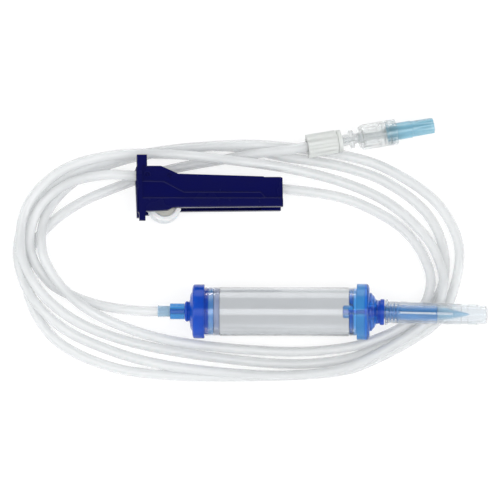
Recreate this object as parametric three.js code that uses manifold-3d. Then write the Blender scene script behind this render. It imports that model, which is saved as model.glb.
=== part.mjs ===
// Gravity infusion set, laid out in a loose coil: drip chamber with sheathed spike, clear tubing,
// roller clamp and a rotating luer lock with its cap. Millimetres, +Z up, everything on z = 0.
// +X runs from the chamber's outlet to the spike; the origin is under the middle of the chamber.
import * as THREE from 'three';
import { mergeVertices } from 'three/addons/utils/BufferGeometryUtils.js';
import Module from 'manifold-3d';

const wasm = await Module();
wasm.setup();

// Driving dimensions
const FIT_GAP = 0.3;
const FACE_GAP = 0.2;
const ROUND_SIDES = 32;
const BORE_SIDES = 12;

const TUBE_DIAMETER = 4.1;
const TUBE_SIDES = 10;
const TUBE_BORE = 3.0;

const BARREL_DIAMETER = 20;
const BARREL_WALL = 1.0;
const BARREL_LENGTH = 61.9;

const LOWER_FLANGE_DIAMETER = 22.2;
const LOWER_FLANGE_THICKNESS = 4.9;
const LOWER_PLUG_LENGTH = 3.8;
const PLUG_WALL = 1.0;
const OUTLET_BOSS_DIAMETER = 16.4;
const OUTLET_BOSS_LENGTH = 1.1;
const OUTLET_RING_DIAMETER = 8.6;
const OUTLET_RING_LENGTH = 2.1;
const OUTLET_STUB_DIAMETER = 6.5;
const OUTLET_STUB_LENGTH = 6.0;
const OUTLET_SPIGOT_LENGTH = 5.0;
const OUTLET_BORE = 1.8;

const FILTER_RIM_LENGTH = 2.2;
const FILTER_RIM_WALL = 1.1;
const FILTER_MESH_THICKNESS = 0.5;

const UPPER_FLANGE_DIAMETER = 23.0;
const UPPER_FLANGE_THICKNESS = 5.3;
const UPPER_FLANGE_ROUND = 1.8;
const UPPER_PLUG_LENGTH = 3.1;
const UPPER_PLUG_FLOOR = 1.2;
const UPPER_CONE_LENGTH = 3.3;
const UPPER_CONE_BASE_DIAMETER = 15.7;
const UPPER_CONE_TOP_DIAMETER = 9.9;
const PLUG_NOTCH_WIDTH = 3.0;
const PLUG_NOTCH_DEPTH = 1.6;

const DROP_FORMER_DIAMETER = 5.3;
const DROP_FORMER_REACH = 3.0;
const DROP_FORMER_BORE = 1.6;

const SPIKE_STUB_DIAMETER = 4.6;
const SPIKE_STUB_LENGTH = 5.0;
const SPIKE_COLLAR_DIAMETER = 10.7;
const SPIKE_COLLAR_LENGTH = 2.4;
const SPIKE_RIDGE_DIAMETER = 6.8;
const SPIKE_RIDGE_COUNT = 4;
const SPIKE_RIDGE_PITCH = 1.5;
const SPIKE_RIDGE_DEPTH = 0.35;
const SPIKE_SHAFT_DIAMETER = 6.2;
const SPIKE_SHAFT_LENGTH = 15.7;
const SPIKE_POINT_LENGTH = 13.1;
const SPIKE_POINT_BASE_DIAMETER = 5.2;
const SPIKE_POINT_DIAMETER = 0.9;
const SPIKE_FLUID_BORE = 2.0;
const SPIKE_AIR_BORE = 1.2;
const SPIKE_BORE_OFFSET = 1.15;
const SPIKE_YAW_DEGREES = -1.4;

const SHEATH_LIP_DIAMETER = 10.6;
const SHEATH_LIP_LENGTH = 1.2;
const SHEATH_BASE_DIAMETER = 8.9;
const SHEATH_END_DIAMETER = 8.3;
const SHEATH_SLEEVE_LENGTH = 37.2;
const SHEATH_TIP_DIAMETER = 7.6;
const SHEATH_TIP_LENGTH = 3.5;
const SHEATH_TIP_ROUND = 1.4;
const SHEATH_WALL = 0.62;

const CHAMBER_TILT_DEGREES = 1.3;
const CHAMBER_YAW_DEGREES = -0.4;
const CHAMBER_HEIGHT = 11.14;
const LOWER_FLANGE_X = -50.85;
const LOWER_FLANGE_Y = 0.3;

const CLAMP_LENGTH = 59.8;
const CLAMP_WIDTH = 12;
const CLAMP_CHANNEL_WIDTH = 7.4;
const CLAMP_RELIEF = 0.4;
const CLAMP_EAR_THICKNESS = 3.1;
const CLAMP_TAB_THICKNESS = 1.8;
const CLAMP_GROOVE_DEPTH = 1.2;
const CLAMP_YAW_DEGREES = 0.95;
const CLAMP_TILT_DEGREES = 5.5;
const CLAMP_POSITION = [-76.5, 55.7, 11.8];

const ROLLER_DIAMETER = 14;
const ROLLER_WEB_DIAMETER = 9.6;
const ROLLER_WEB_RECESS = 1.2;
const ROLLER_AXLE_DIAMETER = 2.0;
const ROLLER_RIDGES = 30;
const ROLLER_RIDGE_HEIGHT = 0.2;
const ROLLER_REST = [11.4, -11.8];
const ROLLER_TRAVEL = 39.0;
const ROLLER_RISE = 0.4;

const GRIP_LENGTH = 14.3;
const GRIP_DIAMETER = 9.8;
const GRIP_LOBES = 8;
const GRIP_LOBE_DEPTH = 0.55;
const GRIP_RING_LENGTH = 1.7;
const GRIP_SOCKET_DEPTH = 8.5;

const STEM_SPIGOT_DIAMETER = 3.6;
const STEM_SPIGOT_LENGTH = 4.4;
const STEM_NECK_DIAMETER = 4.8;
const STEM_NECK_LENGTH = 3.2;
const STEM_LUG_DIAMETER = 7.4;
const STEM_LUG_THICKNESS = 1.7;
const STEM_LUG_WIDTH = 5.0;
const STEM_REAR_DIAMETER = 4.4;
const STEM_REAR_LENGTH = 3.9;
const STEM_RIM_DIAMETER = 6.4;
const STEM_RIM_THICKNESS = 1.0;
const STEM_TAPER_BASE_DIAMETER = 4.2;
const STEM_TAPER_TIP_DIAMETER = 3.9;
const STEM_TAPER_LENGTH = 14.4;
const STEM_BORE = 2.0;

const COLLAR_START = 21.6;
const COLLAR_DIAMETER = 10.6;
const COLLAR_LENGTH = 15.7;
const COLLAR_REAR_WALL = 1.5;
const COLLAR_WALL = 0.8;
const COLLAR_ROUND = 1.9;
const COLLAR_RIBS = 14;
const COLLAR_RIB_HEIGHT = 0.35;
const COLLAR_RIB_LENGTH = 7.2;

const CAP_START = 33.0;
const CAP_BODY_DIAMETER = 7.1;
const CAP_BODY_LENGTH = 10.8;
const CAP_GRIP_DIAMETER = 6.6;
const CAP_GRIP_LENGTH = 9.2;
const CAP_GRIP_FLUTES = 8;
const CAP_FLUTE_DEPTH = 0.25;
const CAP_SOCKET_DEPTH = 7.0;
const CAP_END_WALL = 1.4;
const CAP_INNER_DIAMETER = 3.0;

const LUER_START = [-6.3, 69.15, 9.63];
const LUER_YAW_DEGREES = 10.8;
const LUER_DROP_DEGREES = 6.2;

// Middle line of the tubing, point by point along the coil as it lies, in millimetres.
// Outlet, and the first pass round the left
const ROUTE_TO_CLAMP = [
  [-67.9, 0.4, 10.75],
  [-72.4, 0.5, 10.3],
  [-89.2, 3.8, 3.1],
  [-100.6, 7.5, 2.1],
  [-112.0, 13.8, 2.9],
  [-119.8, 26.6, 6.6],
  [-116.9, 42.7, 7.6],
  [-104.8, 53.6, 8.5],
  [-89.2, 57.2, 10.3],
  [-77.2, 56.6, 11.6],
];
// Along the clamp's channel
const ROUTE_IN_CLAMP = [
  [-75.6, 56.4, 11.8],
  [-67.2, 56.1, 10.9],
  [-59.4, 53.0, 10.2],
  [-44.0, 52.6, 8.7],
  [-30.0, 52.4, 7.4],
  [-17.6, 52.2, 6.2],
];
const ROUTE_FROM_CLAMP = [
  // Inner pass round the right
  [-16.2, 52.1, 6.0],
  [9.2, 48.7, 2.5],
  [25.6, 41.3, 2.1],
  [33.7, 35.3, 2.2],
  [40.5, 26.4, 3.2],
  [44.3, 14.2, 4.4],
  [41.1, 3.0, 5.5],
  [32.7, -5.1, 5.8],
  // Second pass along the bottom, round the left and along the top
  [17.6, -11.7, 4.9],
  [9.2, -13.7, 4.7],
  [-13.4, -15.1, 3.1],
  [-64.6, -10.0, 3.7],
  [-89.2, -1.7, 5.3],
  [-101.1, 5.7, 6.3],
  [-109.6, 14.6, 7.0],
  [-115.0, 26.4, 7.7],
  [-113.6, 41.1, 5.1],
  [-104.3, 53.9, 2.4],
  [-89.2, 62.4, 2.1],
  [-64.6, 68.5, 2.1],
  [-40.0, 70.5, 2.1],
  [-13.4, 65.8, 2.1],
  [-4.8, 64.6, 2.1],
  [9.2, 61.8, 2.1],
  // Second pass round the right
  [25.6, 55.9, 2.1],
  [42.8, 42.5, 2.1],
  [49.4, 28.1, 2.1],
  [49.2, 13.1, 2.1],
  [43.2, 1.9, 2.1],
  [33.8, -6.4, 2.1],
  // Third pass along the bottom, round the left and along the top
  [17.6, -15.3, 2.1],
  [9.2, -18.0, 2.1],
  [-13.4, -20.0, 2.1],
  [-64.6, -14.0, 2.2],
  [-89.2, -7.6, 2.5],
  [-104.7, -0.5, 5.7],
  [-116.6, 10.2, 8.7],
  [-123.7, 26.1, 9.3],
  [-120.9, 44.8, 9.2],
  [-107.7, 58.8, 9.1],
  [-89.2, 64.9, 10.2],
  [-64.6, 65.8, 11.1],
  [-40.0, 63.5, 11.2],
  [-13.4, 60.4, 6.6],
  [9.2, 55.2, 2.6],
  // Third pass round the right
  [25.6, 47.8, 2.3],
  [37.4, 38.0, 3.8],
  [45.8, 26.9, 5.2],
  [49.5, 12.3, 6.7],
  [45.3, -0.4, 5.6],
  [34.9, -9.0, 6.0],
  // Fourth pass along the bottom, round the left and along the top
  [17.6, -19.0, 6.4],
  [9.2, -22.4, 6.6],
  [-13.4, -25.6, 7.1],
  [-64.6, -20.9, 4.8],
  [-89.2, -13.5, 2.1],
  [-107.3, -4.9, 4.5],
  [-120.1, 8.5, 6.7],
  [-125.0, 26.9, 4.8],
  [-119.5, 44.9, 3.7],
  [-106.3, 57.0, 5.0],
  [-89.2, 63.2, 6.3],
  [-64.6, 68.1, 6.3],
  [-40.0, 70.2, 6.5],
  [-26.5, 70.6, 5.7],
  [-13.4, 69.9, 3.3],
  [-4.8, 69.0, 2.1],
  [9.2, 66.7, 2.5],
  // Outer pass round the right
  [25.6, 61.6, 2.1],
  [47.5, 46.3, 2.1],
  [55.8, 29.3, 2.1],
  [53.9, 11.8, 2.1],
  [47.5, -1.5, 2.1],
  [36.0, -10.3, 2.1],
  // Last pass along the bottom, round the left, under the clamp and up to the luer end
  [17.6, -19.8, 2.1],
  [9.2, -22.6, 2.1],
  [-13.4, -24.7, 2.1],
  [-64.6, -24.6, 2.1],
  [-89.2, -20.4, 2.1],
  [-110.1, -9.3, 2.1],
  [-120.6, 9.0, 2.1],
  [-119.8, 27.4, 2.1],
  [-110.1, 39.6, 2.1],
  [-100.1, 46.6, 2.1],
  [-89.2, 51.7, 2.1],
  [-64.6, 60.4, 2.2],
  [-40.0, 64.9, 3.8],
  [-26.5, 66.6, 7.8],
  [-13.4, 67.9, 9.8],
  [-6.05, 69.2, 9.6],
  [-1.2, 70.1, 9.1],
];

// Places along the chamber's axis, measured from the middle of the lower flange
const lowerFlangeFace = LOWER_FLANGE_THICKNESS / 2;
const barrelStart = lowerFlangeFace + FACE_GAP;
const barrelEnd = barrelStart + BARREL_LENGTH;
const upperFlangeStart = barrelEnd + FACE_GAP;
const upperFlangeEnd = upperFlangeStart + UPPER_FLANGE_THICKNESS;
const upperConeEnd = upperFlangeEnd + UPPER_CONE_LENGTH;
const spikeCollarStart = upperConeEnd + FIT_GAP;
const spikeRidgeStart = spikeCollarStart + SPIKE_COLLAR_LENGTH;
const spikeShaftStart = spikeRidgeStart + SPIKE_RIDGE_COUNT * SPIKE_RIDGE_PITCH;
const spikePointStart = spikeShaftStart + SPIKE_SHAFT_LENGTH;
const spikeTip = spikePointStart + SPIKE_POINT_LENGTH;
const plugRadius = BARREL_DIAMETER / 2 - BARREL_WALL - FIT_GAP;
const plugInnerRadius = plugRadius - PLUG_WALL;

// Finishes
function plastic(color, roughness = 0.35, opacity = 1) {
  return new THREE.MeshStandardMaterial({ color, roughness, metalness: 0, opacity, transparent: opacity < 1 });
}
const finishes = {
  lowerCap: plastic('#1b46aa'),
  filter: plastic('#c9cdd2', 0.7),
  barrel: plastic('#e3e6e9', 0.15, 0.4),
  upperCap: plastic('#3a72c4'),
  dropFormer: plastic('#4b86cd'),
  spike: plastic('#5b8fc8'),
  sheath: plastic('#d8dce2', 0.3, 0.45),
  tubing: plastic('#e9edf0', 0.2, 0.5),
  clamp: plastic('#10124a', 0.4),
  roller: plastic('#f2f4f6', 0.4),
  grip: plastic('#e4e7e4', 0.55, 0.8),
  stem: plastic('#e2e6e8', 0.15, 0.45),
  collar: plastic('#dfe3e6', 0.12, 0.35),
  luerCap: plastic('#6fb4d0', 0.3, 0.85),
};

// Shape helpers
function solidOf(geometry) {
  const bare = geometry.clone();
  bare.deleteAttribute('normal');
  bare.deleteAttribute('uv');
  const merged = mergeVertices(bare, 1e-4);
  const corners = merged.index.array;
  const place = merged.attributes.position;
  const triangles = [];
  let volume = 0;
  const [a, b, c] = [new THREE.Vector3(), new THREE.Vector3(), new THREE.Vector3()];
  for (let i = 0; i < corners.length; i += 3) {
    const [p, q, r] = [corners[i], corners[i + 1], corners[i + 2]];
    if (p === q || q === r || r === p) continue;
    a.fromBufferAttribute(place, p);
    b.fromBufferAttribute(place, q);
    c.fromBufferAttribute(place, r);
    volume += a.dot(b.cross(c));
    triangles.push(p, q, r);
  }
  if (volume < 0) triangles.reverse();
  return new wasm.Manifold(new wasm.Mesh({
    numProp: 3,
    vertProperties: Float32Array.from(place.array),
    triVerts: Uint32Array.from(triangles),
  }));
}

function named(name, solid, finish) {
  const { vertProperties, triVerts } = solid.getMesh();
  const geometry = new THREE.BufferGeometry();
  geometry.setAttribute('position', new THREE.BufferAttribute(vertProperties, 3));
  geometry.setIndex(new THREE.BufferAttribute(triVerts, 1));
  geometry.computeVertexNormals();
  const mesh = new THREE.Mesh(geometry, finish);
  mesh.name = name;
  return mesh;
}

// A half-profile of [along, radius] points turned about the X axis; a hollow one is closed on itself
function turned(profile, sides = ROUND_SIDES) {
  const onAxis = profile[0][1] === 0 && profile.at(-1)[1] === 0;
  const outline = onAxis ? profile : [...profile, profile[0]];
  const geometry = new THREE.LatheGeometry(outline.map(([along, radius]) => new THREE.Vector2(radius, along)), sides);
  geometry.rotateZ(-Math.PI / 2);
  return solidOf(geometry);
}

// Points of an arc in the [along, radius] plane, angles in degrees from +along
function arc(along, radius, size, from, to, steps = 4) {
  return Array.from({ length: steps + 1 }, (_, i) => {
    const angle = THREE.MathUtils.degToRad(from + ((to - from) * i) / steps);
    return [along + size * Math.cos(angle), radius + size * Math.sin(angle)];
  });
}

function rod(start, end, radius, sides = BORE_SIDES) {
  return turned([[start, 0], [start, radius], [end, radius], [end, 0]], sides);
}

function block(low, high) {
  const size = low.map((value, i) => high[i] - value);
  const geometry = new THREE.BoxGeometry(...size);
  geometry.translate(...low.map((value, i) => value + size[i] / 2));
  return solidOf(geometry);
}

// An outline in the XY plane, given depth from z = low to z = high
function slab(outline, low, high) {
  const shape = new THREE.Shape(outline.map(([x, y]) => new THREE.Vector2(x, y)));
  const geometry = new THREE.ExtrudeGeometry(shape, { depth: high - low, bevelEnabled: false });
  geometry.translate(0, 0, low);
  return solidOf(geometry);
}

// A bar along X with a lobed or fluted round section: radius at the crests, depth of the valleys
function fluted(start, end, radius, depth, lobes, pointsPerLobe = 6) {
  const count = lobes * pointsPerLobe;
  const outline = Array.from({ length: count }, (_, i) => {
    const angle = (2 * Math.PI * i) / count;
    const reach = radius - (depth * (1 - Math.cos(lobes * angle))) / 2;
    return [reach * Math.cos(angle), reach * Math.sin(angle)];
  });
  return slab(outline, start, end).rotate([0, 90, 0]);
}

// Chamber pieces, along +X from the middle of the lower flange
function lowerCap() {
  const flangeRadius = LOWER_FLANGE_DIAMETER / 2;
  const outer = -lowerFlangeFace;
  const bossStart = outer - OUTLET_BOSS_LENGTH;
  const ringStart = bossStart - OUTLET_RING_LENGTH;
  const stubStart = ringStart - OUTLET_STUB_LENGTH;
  const spigotStart = stubStart - OUTLET_SPIGOT_LENGTH;
  const bossRadius = OUTLET_BOSS_DIAMETER / 2;
  const ringRadius = OUTLET_RING_DIAMETER / 2;
  const stubRadius = OUTLET_STUB_DIAMETER / 2;
  const boreRadius = OUTLET_BORE / 2;
  const edge = 1.0;
  const bossEdge = 0.7;
  const dish = 1.4;
  return turned([
    [spigotStart, boreRadius],
    [spigotStart, TUBE_BORE / 2],
    [stubStart, TUBE_BORE / 2],
    [stubStart, stubRadius],
    [ringStart, stubRadius],
    [ringStart, ringRadius],
    [bossStart, ringRadius],
    ...arc(bossStart + bossEdge, bossRadius - bossEdge, bossEdge, 180, 90, 2),
    [outer, bossRadius],
    ...arc(outer + edge, flangeRadius - edge, edge, 180, 90),
    ...arc(lowerFlangeFace - edge / 2, flangeRadius - edge / 2, edge / 2, 90, 0, 2),
    [lowerFlangeFace, plugRadius],
    [lowerFlangeFace + LOWER_PLUG_LENGTH, plugRadius],
    [lowerFlangeFace + LOWER_PLUG_LENGTH, plugInnerRadius],
    [lowerFlangeFace - dish, plugInnerRadius],
    [outer + dish, boreRadius],
  ]);
}

function filter() {
  const rimStart = lowerFlangeFace + LOWER_PLUG_LENGTH + FACE_GAP;
  const rimEnd = rimStart + FILTER_RIM_LENGTH;
  const rimInner = plugRadius - FILTER_RIM_WALL;
  return turned([
    [rimStart, 0],
    [rimStart, plugRadius],
    [rimEnd, plugRadius],
    [rimEnd, rimInner],
    [rimStart + FILTER_MESH_THICKNESS, rimInner],
    [rimStart + FILTER_MESH_THICKNESS, 0],
  ]);
}

function barrel() {
  const outerRadius = BARREL_DIAMETER / 2;
  const innerRadius = outerRadius - BARREL_WALL;
  return turned([
    [barrelStart, innerRadius],
    [barrelStart, outerRadius],
    [barrelEnd, outerRadius],
    [barrelEnd, innerRadius],
  ], 40);
}

function upperCap() {
  const flangeRadius = UPPER_FLANGE_DIAMETER / 2;
  const plugStart = upperFlangeStart - UPPER_PLUG_LENGTH;
  const floorStart = upperFlangeStart - UPPER_PLUG_FLOOR;
  const socketRadius = SPIKE_STUB_DIAMETER / 2 + FIT_GAP;
  const socketStart = upperConeEnd - SPIKE_STUB_LENGTH;
  const edge = 0.5;
  const step = 0.8;
  const body = turned([
    [socketStart, DROP_FORMER_BORE / 2],
    [floorStart, DROP_FORMER_BORE / 2],
    [floorStart, plugInnerRadius],
    [plugStart, plugInnerRadius],
    [plugStart, plugRadius],
    [upperFlangeStart, plugRadius],
    ...arc(upperFlangeStart + edge, flangeRadius - edge, edge, 180, 90, 2),
    ...arc(upperFlangeEnd - UPPER_FLANGE_ROUND, flangeRadius - UPPER_FLANGE_ROUND, UPPER_FLANGE_ROUND, 90, 0),
    [upperFlangeEnd, UPPER_CONE_BASE_DIAMETER / 2],
    [upperFlangeEnd + step, UPPER_CONE_BASE_DIAMETER / 2],
    [upperConeEnd - step, UPPER_CONE_TOP_DIAMETER / 2],
    [upperConeEnd, UPPER_CONE_TOP_DIAMETER / 2],
    [upperConeEnd, socketRadius],
    [socketStart, socketRadius],
  ]);
  const notch = block(
    [plugStart - 1, -PLUG_NOTCH_WIDTH / 2, -plugRadius - 1],
    [plugStart + PLUG_NOTCH_DEPTH, PLUG_NOTCH_WIDTH / 2, plugRadius + 1],
  );
  return body.subtract(notch).subtract(notch.rotate([90, 0, 0]));
}

function dropFormer() {
  const base = upperFlangeStart - UPPER_PLUG_FLOOR - FACE_GAP;
  const tip = upperFlangeStart - UPPER_PLUG_LENGTH - DROP_FORMER_REACH;
  const radius = DROP_FORMER_DIAMETER / 2;
  const round = 0.9;
  return turned([
    [tip, DROP_FORMER_BORE / 2],
    ...arc(tip + round, radius - round, round, 180, 90, 3),
    [base, radius],
    [base, DROP_FORMER_BORE / 2],
  ], 24);
}

function spike() {
  const stubRadius = SPIKE_STUB_DIAMETER / 2;
  const collarRadius = SPIKE_COLLAR_DIAMETER / 2;
  const ridgeRadius = SPIKE_RIDGE_DIAMETER / 2;
  const shaftRadius = SPIKE_SHAFT_DIAMETER / 2;
  const pointRadius = SPIKE_POINT_BASE_DIAMETER / 2;
  const edge = 0.4;
  const ridges = [];
  for (let i = 0; i < SPIKE_RIDGE_COUNT; i++) {
    const start = spikeRidgeStart + i * SPIKE_RIDGE_PITCH;
    ridges.push([start, ridgeRadius - SPIKE_RIDGE_DEPTH], [start + 0.4, ridgeRadius - SPIKE_RIDGE_DEPTH]);
    ridges.push([start + 0.6, ridgeRadius], [start + SPIKE_RIDGE_PITCH - 0.1, ridgeRadius]);
  }
  const stubStart = upperConeEnd - SPIKE_STUB_LENGTH + FACE_GAP;
  const body = turned([
    [stubStart, 0],
    [stubStart, stubRadius],
    [spikeCollarStart, stubRadius],
    [spikeCollarStart, collarRadius - edge],
    [spikeCollarStart + edge, collarRadius],
    [spikeRidgeStart - edge, collarRadius],
    [spikeRidgeStart, collarRadius - edge],
    ...ridges,
    [spikeShaftStart, shaftRadius],
    [spikePointStart, shaftRadius],
    [spikePointStart, pointRadius],
    [spikePointStart + SPIKE_POINT_LENGTH * 0.4, pointRadius * 0.8],
    [spikePointStart + SPIKE_POINT_LENGTH * 0.7, pointRadius * 0.47],
    [spikeTip, SPIKE_POINT_DIAMETER / 2],
    [spikeTip, 0],
  ], 24);
  const fluidWay = rod(stubStart - 1, spikeTip, SPIKE_FLUID_BORE / 2, 10).translate([0, 0, SPIKE_BORE_OFFSET]);
  const airWay = rod(spikeShaftStart, spikeTip, SPIKE_AIR_BORE / 2, 8).translate([0, 0, -SPIKE_BORE_OFFSET]);
  return body.subtract(fluidWay).subtract(airWay);
}

function spikeSheath() {
  const start = spikeRidgeStart + FIT_GAP;
  const sleeveStart = start + SHEATH_LIP_LENGTH;
  const sleeveEnd = sleeveStart + SHEATH_SLEEVE_LENGTH;
  const end = sleeveEnd + SHEATH_TIP_LENGTH;
  const baseRadius = SHEATH_BASE_DIAMETER / 2;
  const endRadius = SHEATH_END_DIAMETER / 2;
  const tipRadius = SHEATH_TIP_DIAMETER / 2;
  return turned([
    [start, baseRadius - SHEATH_WALL],
    [start, SHEATH_LIP_DIAMETER / 2],
    [sleeveStart, SHEATH_LIP_DIAMETER / 2],
    [sleeveStart, baseRadius],
    [sleeveEnd, endRadius],
    [sleeveEnd, tipRadius],
    ...arc(end - SHEATH_TIP_ROUND, tipRadius - SHEATH_TIP_ROUND, SHEATH_TIP_ROUND, 90, 0),
    [end, 0],
    [end - SHEATH_WALL, 0],
    [end - SHEATH_WALL, tipRadius - SHEATH_TIP_ROUND],
    [sleeveEnd, tipRadius - SHEATH_WALL],
    [sleeveEnd - 1, endRadius - SHEATH_WALL],
  ]);
}

// Roller clamp: channel along +X from its wide end, back at +Y, open at -Y, width along Z
function clampHousing() {
  const half = CLAMP_WIDTH / 2;
  const inner = CLAMP_CHANNEL_WIDTH / 2;
  const outline = [
    [0, 4.1], [9.9, 4.1], [16.8, 0.85], [51.9, -0.25], [52.3, -0.5], [58.9, -0.5], [CLAMP_LENGTH, -0.8],
    [CLAMP_LENGTH, -12.8], [14.5, -13.3], [12.2, -14.4], [3.4, -14.8], [3.1, -15.8], [0.6, -15.8],
  ];
  const upperRelief = [
    [0.9, -2.4], [10.9, -2.6], [19.1, -7.0], [50.6, -7.0], [52.4, -8.8],
    [52.4, -12.8], [14.5, -13.3], [12.2, -14.4], [3.4, -14.8], [3.1, -15.8], [0.9, -15.8],
  ];
  const lowerRelief = [
    [0.9, -9.4], [CLAMP_LENGTH, -9.4], [CLAMP_LENGTH, -12.8], [14.5, -13.3],
    [12.2, -14.4], [3.4, -14.8], [3.1, -15.8], [0.9, -15.8],
  ];
  const channel = [
    [-1, 3.2], [9.4, 2.9], [17.4, -0.35], [CLAMP_LENGTH + 1, -2.1], [CLAMP_LENGTH + 1, -20], [-1, -20],
  ];
  const axleRadius = ROLLER_AXLE_DIAMETER / 2;
  const grooveHalf = axleRadius + FIT_GAP;
  const [trackStart, trackLevel] = ROLLER_REST;
  const groove = [
    [trackStart - grooveHalf, trackLevel - grooveHalf],
    [trackStart + ROLLER_TRAVEL + grooveHalf, trackLevel + ROLLER_RISE - grooveHalf],
    [trackStart + ROLLER_TRAVEL + grooveHalf, trackLevel + ROLLER_RISE + grooveHalf],
    [trackStart - grooveHalf, trackLevel + grooveHalf],
  ];
  const ear = block([0, 4.0, half - CLAMP_EAR_THICKNESS], [4.1, 8.6, half]);
  const tab = block([0.6, -18.7, half - CLAMP_TAB_THICKNESS], [3.1, -15.5, half]);
  return slab(outline, -half + 2 * CLAMP_RELIEF, half - 2 * CLAMP_RELIEF)
    .add(slab(upperRelief, -half + CLAMP_RELIEF, half - CLAMP_RELIEF))
    .add(slab(lowerRelief, -half, half))
    .add(slab([[0, 4.1], [2.0, 4.1], [2.0, -15.8], [0.5, -15.8]], -half, half))
    .subtract(slab(channel, -inner, inner))
    .subtract(slab(groove, -inner - CLAMP_GROOVE_DEPTH, inner + CLAMP_GROOVE_DEPTH))
    .add(ear)
    .add(tab);
}

function clampRoller() {
  const halfWidth = CLAMP_CHANNEL_WIDTH / 2 - FIT_GAP;
  const recess = halfWidth - ROLLER_WEB_RECESS;
  const webRadius = ROLLER_WEB_DIAMETER / 2;
  const rimRadius = ROLLER_DIAMETER / 2;
  const axleRadius = ROLLER_AXLE_DIAMETER / 2;
  const axleEnd = halfWidth + CLAMP_GROOVE_DEPTH;
  const rim = fluted(-halfWidth, halfWidth, rimRadius, ROLLER_RIDGE_HEIGHT, ROLLER_RIDGES, 2);
  const hollow = turned([
    [recess, 0], [recess, webRadius - 0.5], [halfWidth + 1, webRadius + 0.2], [halfWidth + 1, 0],
  ]);
  const hub = turned([
    [-axleEnd, 0], [-axleEnd, axleRadius], [-halfWidth, axleRadius], [-halfWidth, axleRadius + 1.0],
    [halfWidth, axleRadius + 1.0], [halfWidth, axleRadius], [axleEnd, axleRadius], [axleEnd, 0],
  ], 20);
  return rim.subtract(hollow).subtract(hollow.rotate([0, 0, 180])).add(hub).rotate([0, -90, 0]);
}

// Luer end, along +X from the grip's tubing end
function tubeGrip() {
  const radius = GRIP_DIAMETER / 2;
  const ringStart = GRIP_LENGTH - GRIP_RING_LENGTH;
  const socketRadius = TUBE_DIAMETER / 2 + FIT_GAP;
  const spigotRadius = STEM_SPIGOT_DIAMETER / 2 + FIT_GAP;
  return fluted(0, ringStart, radius, GRIP_LOBE_DEPTH, GRIP_LOBES)
    .add(rod(ringStart - 0.1, GRIP_LENGTH, radius - 0.2, ROUND_SIDES))
    .subtract(rod(-1, GRIP_SOCKET_DEPTH, socketRadius, 16))
    .subtract(rod(GRIP_SOCKET_DEPTH - 0.1, GRIP_LENGTH + 1, spigotRadius, 16));
}

function luerStem() {
  const spigotStart = GRIP_LENGTH - STEM_SPIGOT_LENGTH;
  const neckStart = GRIP_LENGTH + FACE_GAP;
  const lugStart = neckStart + STEM_NECK_LENGTH;
  const lugEnd = lugStart + STEM_LUG_THICKNESS;
  const rimStart = lugEnd + STEM_REAR_LENGTH;
  const rimEnd = rimStart + STEM_RIM_THICKNESS;
  const taperEnd = rimEnd + STEM_TAPER_LENGTH;
  const boreRadius = STEM_BORE / 2;
  const body = turned([
    [spigotStart, boreRadius],
    [spigotStart, STEM_SPIGOT_DIAMETER / 2],
    [neckStart, STEM_SPIGOT_DIAMETER / 2],
    [neckStart, STEM_NECK_DIAMETER / 2],
    [lugStart + 0.1, STEM_NECK_DIAMETER / 2],
    [lugStart + 0.1, STEM_REAR_DIAMETER / 2],
    [rimStart, STEM_REAR_DIAMETER / 2],
    [rimStart, STEM_RIM_DIAMETER / 2],
    [rimEnd, STEM_RIM_DIAMETER / 2],
    [rimEnd, STEM_TAPER_BASE_DIAMETER / 2],
    [taperEnd, STEM_TAPER_TIP_DIAMETER / 2],
    [taperEnd, boreRadius],
  ], 24);
  const disc = rod(lugStart, lugEnd, STEM_LUG_DIAMETER / 2, 24);
  const width = STEM_LUG_WIDTH / 2;
  const reach = STEM_LUG_DIAMETER;
  const lugs = disc.intersect(block([lugStart - 1, -reach, -width], [lugEnd + 1, reach, width]));
  return body.add(lugs.subtract(rod(lugStart - 1, lugEnd + 1, boreRadius + 0.4)));
}

function lockCollar() {
  const radius = COLLAR_DIAMETER / 2 - COLLAR_RIB_HEIGHT;
  const end = COLLAR_START + COLLAR_LENGTH;
  const holeRadius = STEM_REAR_DIAMETER / 2 + FIT_GAP;
  const cavityRadius = COLLAR_DIAMETER / 2 - COLLAR_WALL;
  const shell = turned([
    [COLLAR_START, holeRadius],
    ...arc(COLLAR_START + COLLAR_ROUND, radius - COLLAR_ROUND, COLLAR_ROUND, 180, 90),
    [COLLAR_START + COLLAR_RIB_LENGTH + 1, radius],
    [COLLAR_START + COLLAR_RIB_LENGTH + 1.6, COLLAR_DIAMETER / 2],
    [end, COLLAR_DIAMETER / 2],
    [end, cavityRadius],
    [COLLAR_START + COLLAR_REAR_WALL, cavityRadius],
    [COLLAR_START + COLLAR_REAR_WALL, holeRadius],
  ]);
  const ribs = fluted(
    COLLAR_START + COLLAR_ROUND, COLLAR_START + COLLAR_RIB_LENGTH + 1.3,
    COLLAR_DIAMETER / 2, 2 * COLLAR_RIB_HEIGHT, COLLAR_RIBS, 4,
  );
  const hollow = rod(COLLAR_START, end, (radius + cavityRadius) / 2, ROUND_SIDES);
  return shell.add(ribs.subtract(hollow));
}

function luerCap() {
  const bodyEnd = CAP_START + CAP_BODY_LENGTH;
  const end = bodyEnd + CAP_GRIP_LENGTH;
  const socketEnd = CAP_START + CAP_SOCKET_DEPTH;
  const socketRadius = STEM_TAPER_BASE_DIAMETER / 2 + FIT_GAP;
  return rod(CAP_START, bodyEnd, CAP_BODY_DIAMETER / 2, 24)
    .add(fluted(bodyEnd - 0.1, end, CAP_GRIP_DIAMETER / 2, CAP_FLUTE_DEPTH, CAP_GRIP_FLUTES, 4))
    .subtract(rod(CAP_START - 1, socketEnd, socketRadius, 16))
    .subtract(rod(socketEnd - 0.1, end - CAP_END_WALL, CAP_INNER_DIAMETER / 2));
}

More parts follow.
